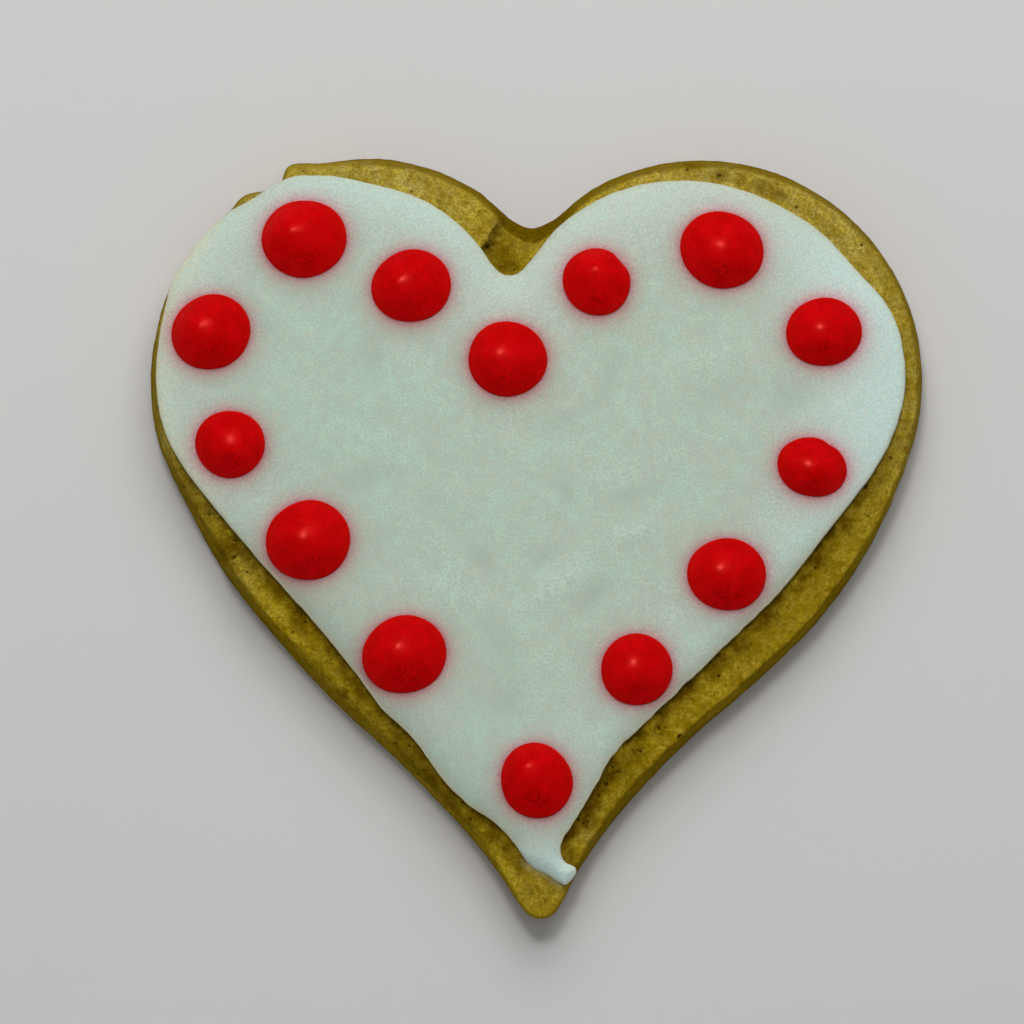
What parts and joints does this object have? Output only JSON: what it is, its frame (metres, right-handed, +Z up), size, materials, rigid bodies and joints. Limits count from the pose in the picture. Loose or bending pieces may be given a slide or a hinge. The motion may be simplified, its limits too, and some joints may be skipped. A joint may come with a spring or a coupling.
{
  "type": "dog biscuit",
  "caption": "Heart-shaped baked dog biscuit, iced pale on top, with glossy red drops of icing along the edge of the heart.",
  "frame": {"origin": "under the middle of the biscuit, in the plane of the flat face that it rests on", "axes": "+Z up out of the iced side, +Y towards the heart's two lobes, -Y towards its tip, +X across the heart"},
  "size_m": [0.0772, 0.0761, 0.0105],
  "materials": {
    "baked_dough": "matte",
    "pale_icing": "matte",
    "red_icing": "gloss"
  },
  "bodies": {
    "root": {"biscuit": "baked_dough", "icing": "pale_icing", "drop_01": "red_icing", "drop_02": "red_icing", "drop_03": "red_icing", "drop_04": "red_icing", "drop_05": "red_icing", "drop_06": "red_icing", "drop_07": "red_icing", "drop_08": "red_icing", "drop_09": "red_icing", "drop_10": "red_icing", "drop_11": "red_icing", "drop_12": "red_icing", "drop_13": "red_icing", "drop_14": "red_icing"}
  },
  "joints": []
}
